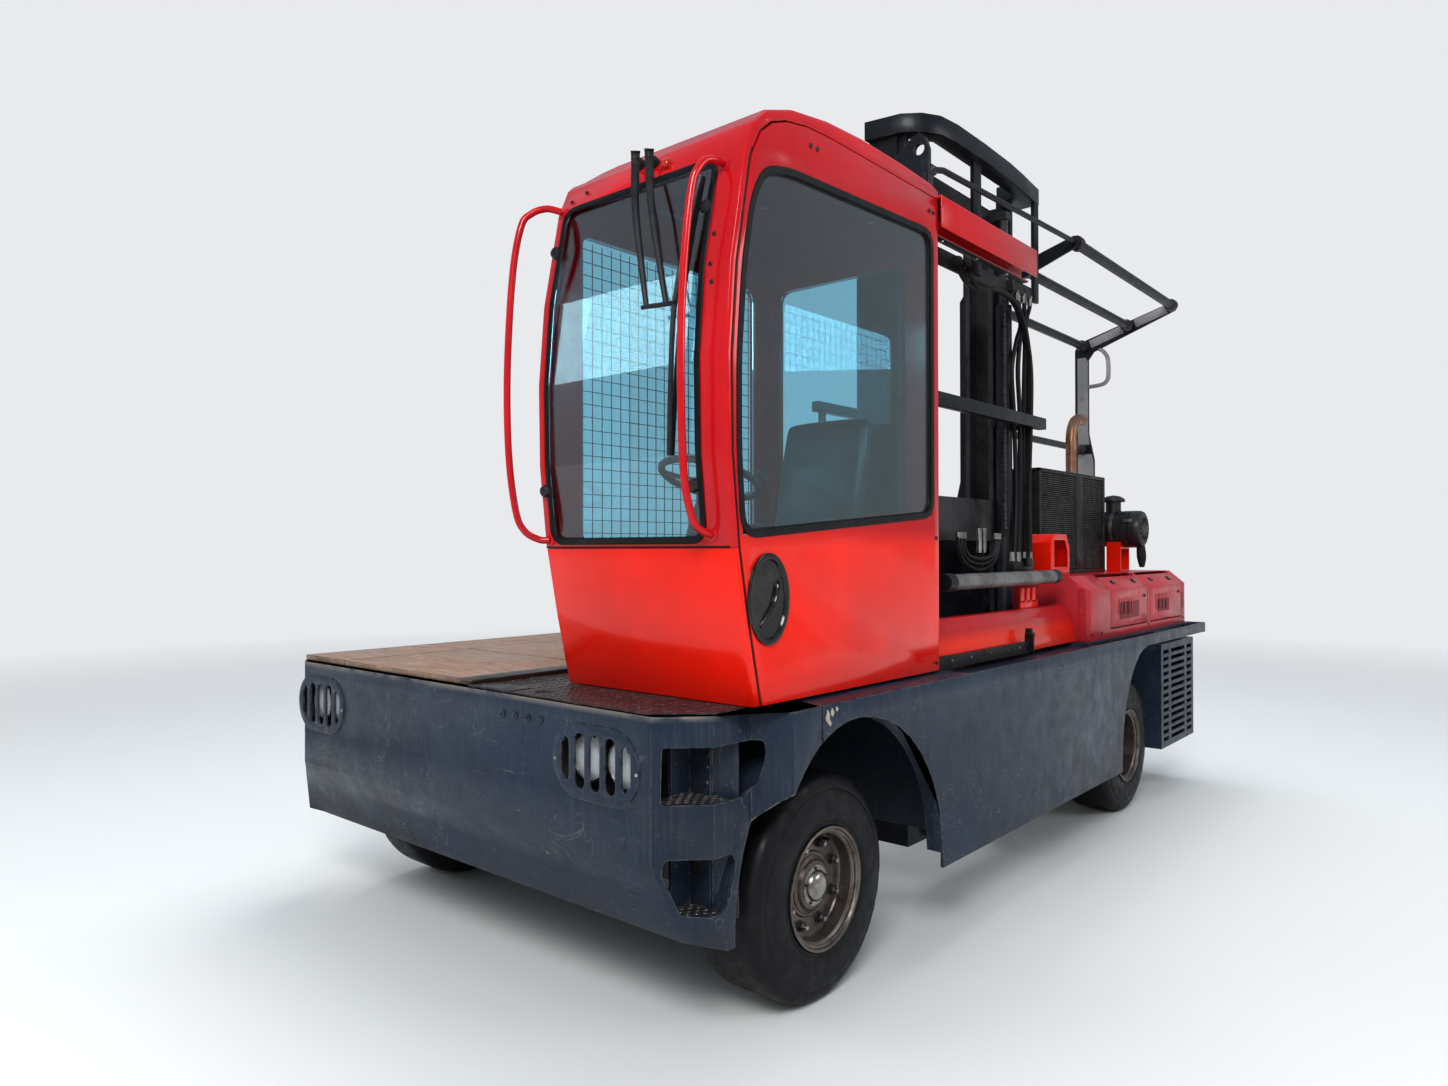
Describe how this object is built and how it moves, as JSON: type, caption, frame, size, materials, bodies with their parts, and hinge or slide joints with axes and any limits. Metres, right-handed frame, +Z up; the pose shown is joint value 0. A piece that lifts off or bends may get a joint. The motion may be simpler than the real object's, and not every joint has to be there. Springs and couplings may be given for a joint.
{
  "type": "side loader forklift",
  "caption": "Side loader truck with a cab on one side, a split load deck, a mast that travels across the truck, forks, and an engine hood with a load guard.",
  "frame": {"origin": "on the floor, at the middle of the truck's length and width", "axes": "+Z up; -Y is the front of the truck; +X is the cab's side and -X the side that the forks point to"},
  "size_m": [2.64, 5.18, 3.58],
  "materials": {
    "cab_red": "gloss",
    "crimson": "gloss",
    "chassis_blue": "satin",
    "mast_black": "satin",
    "worn_steel": "greasy",
    "rim_grey": "satin",
    "rubber": "matte",
    "tyre_rubber": "matte",
    "wood": "worn",
    "glass": "gloss",
    "amber": "gloss",
    "lamp": "gloss",
    "dark_plastic": "matte",
    "exhaust": "satin"
  },
  "bodies": {
    "chassis": {"air_cleaner": "dark_plastic", "air_cleaner_bracket": "cab_red", "beacon": "amber", "cab_console": "dark_plastic", "cab_floor": "dark_plastic", "cab_frame": "crimson", "cab_front_panel": "cab_red", "cab_inner_glass": "glass", "cab_inner_wall": "crimson", "cab_rear_glass": "glass", "cab_rear_wall": "crimson", "cab_roof": "crimson", "cab_seat": "dark_plastic", "cab_windscreen": "glass", "chassis_frame": "chassis_blue", "cooler_guard": "mast_black", "door_rail_lower": "worn_steel", "door_rail_upper": "crimson", "engine_block": "mast_black", "engine_cover": "crimson", "exhaust_pipe": "exhaust", "floor_plate": "chassis_blue", "front_axle": "mast_black", "front_deck_wood": "wood", "front_panel": "chassis_blue", "grab_rail_left": "cab_red", "grab_rail_right": "cab_red", "grille_block": "chassis_blue", "head_lamp_left": "lamp", "head_lamp_right": "lamp", "hose_guard": "cab_red", "load_guard": "mast_black", "lower_cover": "crimson", "lug_post": "mast_black", "rear_axle": "mast_black", "rear_deck_wood": "wood", "rear_panel": "chassis_blue", "side_plate_left_rear": "chassis_blue", "side_plate_right": "chassis_blue"},
    "door": {"door_panel": "cab_red", "door_glass": "glass"},
    "hatch_front": {"hatch_front": "crimson"},
    "hatch_rear": {"hatch_rear": "crimson"},
    "knuckle_left": {"knuckle_left": "mast_black"},
    "knuckle_right": {"knuckle_right": "mast_black"},
    "wheel_front_left": {"tyre_front_left": "tyre_rubber", "rim_front_left": "rim_grey"},
    "wheel_front_right": {"tyre_front_right": "tyre_rubber", "rim_front_right": "rim_grey"},
    "wheel_rear_left": {"tyre_rear_left": "tyre_rubber", "rim_rear_left": "rim_grey"},
    "wheel_rear_right": {"tyre_rear_right": "tyre_rubber", "rim_rear_right": "rim_grey"},
    "mast": {"mast_outer": "mast_black", "mast_hoses": "rubber"},
    "mast_inner": {"mast_inner": "worn_steel"},
    "forks": {"fork_carriage": "mast_black"}
  },
  "joints": [
    {"name": "steer_left", "type": "hinge", "parent": "chassis", "child": "knuckle_left", "pos_m": [-0.93, -1.875, 0.4], "axis": [0, 0, 1], "range_deg": [-35, 35]},
    {"name": "steer_right", "type": "hinge", "parent": "chassis", "child": "knuckle_right", "pos_m": [0.93, -1.875, 0.4], "axis": [0, 0, 1], "range_deg": [-35, 35]},
    {"name": "spin_front_left", "type": "hinge", "parent": "knuckle_left", "child": "wheel_front_left", "pos_m": [-1.045, -1.875, 0.4], "axis": [1, 0, 0], "continuous": true},
    {"name": "spin_front_right", "type": "hinge", "parent": "knuckle_right", "child": "wheel_front_right", "pos_m": [1.045, -1.875, 0.4], "axis": [1, 0, 0], "continuous": true},
    {"name": "spin_rear_left", "type": "hinge", "parent": "chassis", "child": "wheel_rear_left", "pos_m": [-1.045, 1.34, 0.4], "axis": [1, 0, 0], "continuous": true},
    {"name": "spin_rear_right", "type": "hinge", "parent": "chassis", "child": "wheel_rear_right", "pos_m": [1.045, 1.34, 0.4], "axis": [1, 0, 0], "continuous": true},
    {"name": "door_slide", "type": "slide", "parent": "chassis", "child": "door", "axis": [0, 1, 0], "range_m": [0, 0.98]},
    {"name": "hatch_front_hinge", "type": "hinge", "parent": "chassis", "child": "hatch_front", "pos_m": [1.197, 1.35, 1.137], "axis": [0, 1, 0], "range_deg": [0, 90]},
    {"name": "hatch_rear_hinge", "type": "hinge", "parent": "chassis", "child": "hatch_rear", "pos_m": [1.197, 2.0825, 1.137], "axis": [0, 1, 0], "range_deg": [0, 90]},
    {"name": "mast_traverse", "type": "slide", "parent": "chassis", "child": "mast", "axis": [-1, 0, 0], "range_m": [0, 1.3]},
    {"name": "mast_lift", "type": "slide", "parent": "mast", "child": "mast_inner", "axis": [0, 0, 1], "range_m": [0, 1.5]},
    {"name": "fork_lift", "type": "slide", "parent": "mast_inner", "child": "forks", "axis": [0, 0, 1], "range_m": [-1, 1.45]}
  ],
  "couplings": [
    {"joint": "steer_right", "follows": "steer_left", "ratio": 1}
  ]
}
